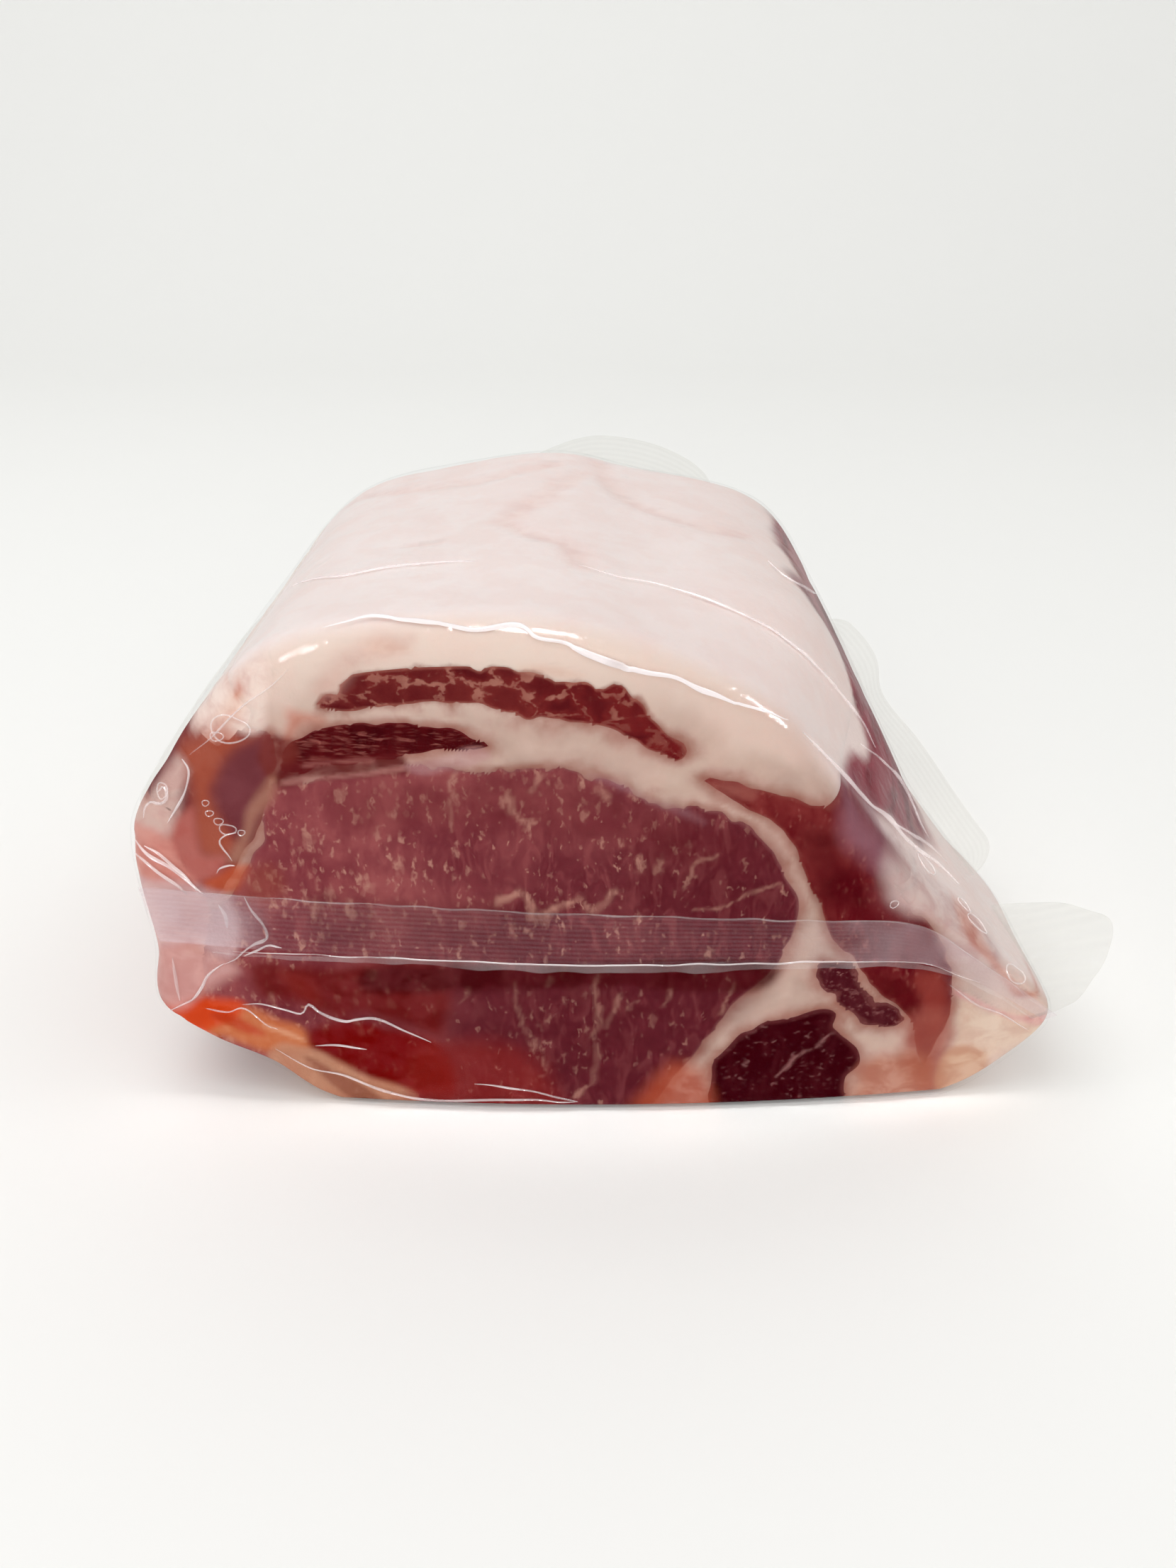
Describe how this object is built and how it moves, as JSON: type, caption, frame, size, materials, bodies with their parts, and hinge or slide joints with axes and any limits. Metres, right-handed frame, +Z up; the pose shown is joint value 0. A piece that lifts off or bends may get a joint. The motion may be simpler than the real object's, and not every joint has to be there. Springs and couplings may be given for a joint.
{
  "type": "pork loin roast",
  "caption": "Raw pork loin roast in a clear vacuum pouch: a block of loin under a fat cap, its muscles showing at the cut ends, red juice at one end and a welded seal round it.",
  "frame": {"origin": "under the middle of the pack, on the surface that it rests on", "axes": "+Z up, -Y out of the cut face that the picture shows, +X towards the pack's low pointed end"},
  "size_m": [0.1926, 0.1296, 0.1037],
  "materials": {
    "lean": "raw lean meat, dark red, finely marbled, moist",
    "fat": "raw pork fat, pale pink, smooth",
    "juice": "clear red meat juice",
    "film": "clear glossy pouch film, ribbed where it is welded"
  },
  "bodies": {
    "root": {"loin_eye": "lean", "cap_muscle": "lean", "inner_muscle": "lean", "side_muscle": "lean", "small_muscle": "lean", "lower_muscle": "lean", "left_muscle": "lean", "fat": "fat", "juice": "juice", "seal_front": "film", "seal_right_flap": "film", "seal_right": "film", "seal_back": "film", "seal_left": "film"}
  },
  "joints": []
}
